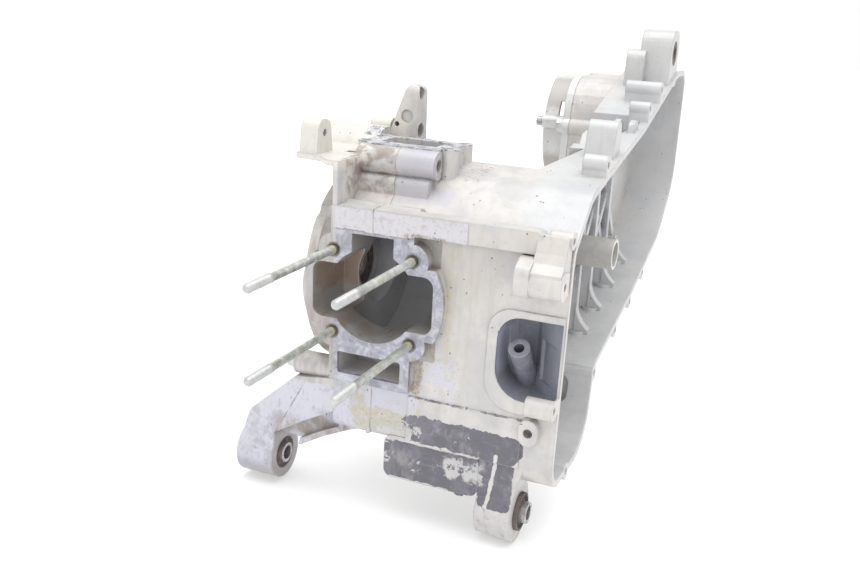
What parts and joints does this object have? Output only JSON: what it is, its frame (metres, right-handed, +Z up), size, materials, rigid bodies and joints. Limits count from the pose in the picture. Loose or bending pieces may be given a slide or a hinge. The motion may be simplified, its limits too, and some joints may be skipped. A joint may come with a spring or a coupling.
{
  "type": "scooter engine crankcase",
  "caption": "Split cast crankcase with a long belt tray, open cylinder mouth with studs, engine mounts and gearbox end.",
  "frame": {"origin": "middle of the cylinder mouth, in the plane of the machined cylinder face", "axes": "+X towards the belt-drive side, +Y rearwards to the wheel, +Z up; the cylinder leaves along -Y"},
  "size_m": [0.2355, 0.4822, 0.3267],
  "materials": {
    "left_case": "cast, silver-white paint, worn and stained",
    "right_case": "cast, silver-white paint, worn and stained",
    "gearbox_cover": "cast, thin silver paint",
    "gasket": "compressed paper",
    "steel": "bare, lightly rusted",
    "zinc": "zinc plated, dulled to a yellowish grey",
    "rubber": "black, matte",
    "brass": "dull",
    "plastic": "black, moulded"
  },
  "bodies": {
    "root": {"left_case": "left_case", "right_case": "right_case", "case_gasket": "gasket", "front_gasket": "gasket", "case_dowels": "steel", "case_bolts": "zinc", "cylinder_studs": "zinc", "left_mount_rubber": "rubber", "left_mount_sleeve": "steel", "right_mount_rubber": "rubber", "right_mount_sleeve": "steel", "tray_tube": "steel", "shock_bush": "rubber", "gearbox_cover": "gearbox_cover", "gearbox_gasket": "gasket", "gearbox_bolts": "zinc", "brake_anchor_pin": "steel", "brake_cam_bush": "brass", "drain_plug": "zinc", "drain_washer": "brass", "filler_plug": "plastic", "filler_washer": "rubber"}
  },
  "joints": []
}
